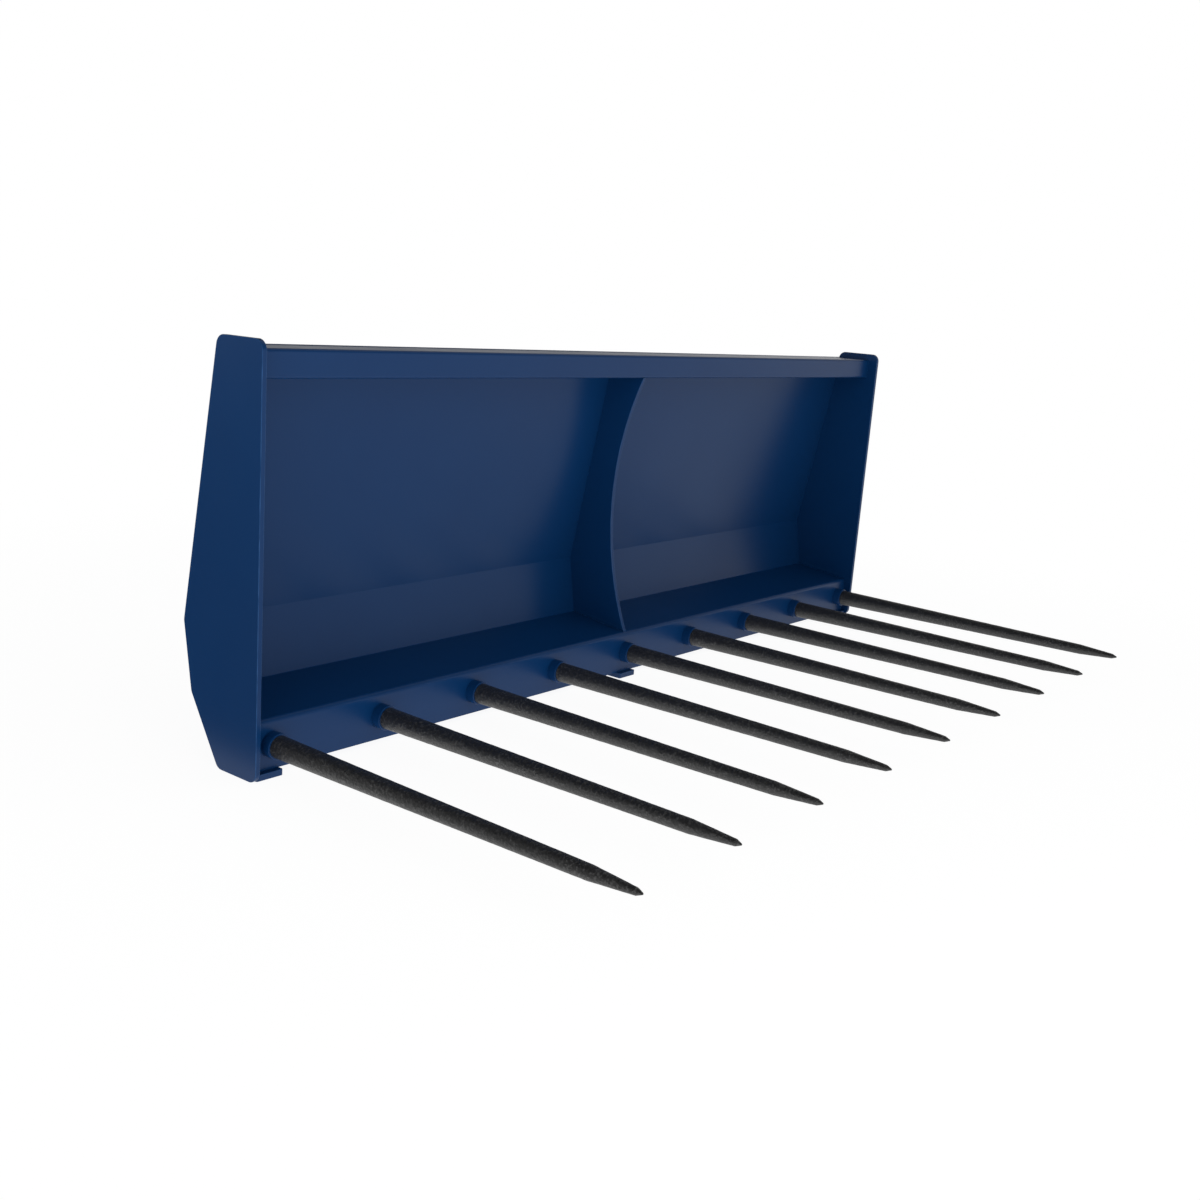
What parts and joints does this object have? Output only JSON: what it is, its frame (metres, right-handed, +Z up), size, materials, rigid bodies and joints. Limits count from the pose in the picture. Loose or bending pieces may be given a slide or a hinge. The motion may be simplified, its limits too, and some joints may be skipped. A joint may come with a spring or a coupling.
{
  "type": "silage fork",
  "caption": "Front-loader silage fork: folded sheet-steel box, open to the front, with a row of round tapered tines in a box-section beam and quick-hitch plates behind.",
  "frame": {"origin": "on the ground, in the middle of the centre skid's underside", "axes": "+X runs across the fork, the tines point along -Y, +Z is up; left is -X, as seen from the tine side"},
  "size_m": [1.8, 0.9225, 0.636],
  "materials": {
    "blue_paint": "satin",
    "forged_black": "matte",
    "zinc_plate": "satin"
  },
  "bodies": {
    "root": {"side_plate_left": "blue_paint", "side_plate_right": "blue_paint", "back_sheet": "blue_paint", "top_tube": "blue_paint", "tine_beam": "blue_paint", "center_rib": "blue_paint", "skid_left": "blue_paint", "skid_center": "blue_paint", "skid_right": "blue_paint", "hitch_plate_left": "blue_paint", "hitch_plate_right": "blue_paint", "hitch_bush_left": "blue_paint", "hitch_bush_right": "blue_paint", "tine_socket_1": "blue_paint", "tine_socket_2": "blue_paint", "tine_socket_3": "blue_paint", "tine_socket_4": "blue_paint", "tine_socket_5": "blue_paint", "tine_socket_6": "blue_paint", "tine_socket_7": "blue_paint", "tine_socket_8": "blue_paint", "tine_socket_9": "blue_paint", "tine_1": "forged_black", "tine_2": "forged_black", "tine_3": "forged_black", "tine_4": "forged_black", "tine_5": "forged_black", "tine_6": "forged_black", "tine_7": "forged_black", "tine_8": "forged_black", "tine_9": "forged_black", "tine_nut_1": "zinc_plate", "tine_nut_2": "zinc_plate", "tine_nut_3": "zinc_plate", "tine_nut_4": "zinc_plate", "tine_nut_5": "zinc_plate", "tine_nut_6": "zinc_plate", "tine_nut_7": "zinc_plate", "tine_nut_8": "zinc_plate", "tine_nut_9": "zinc_plate"}
  },
  "joints": []
}
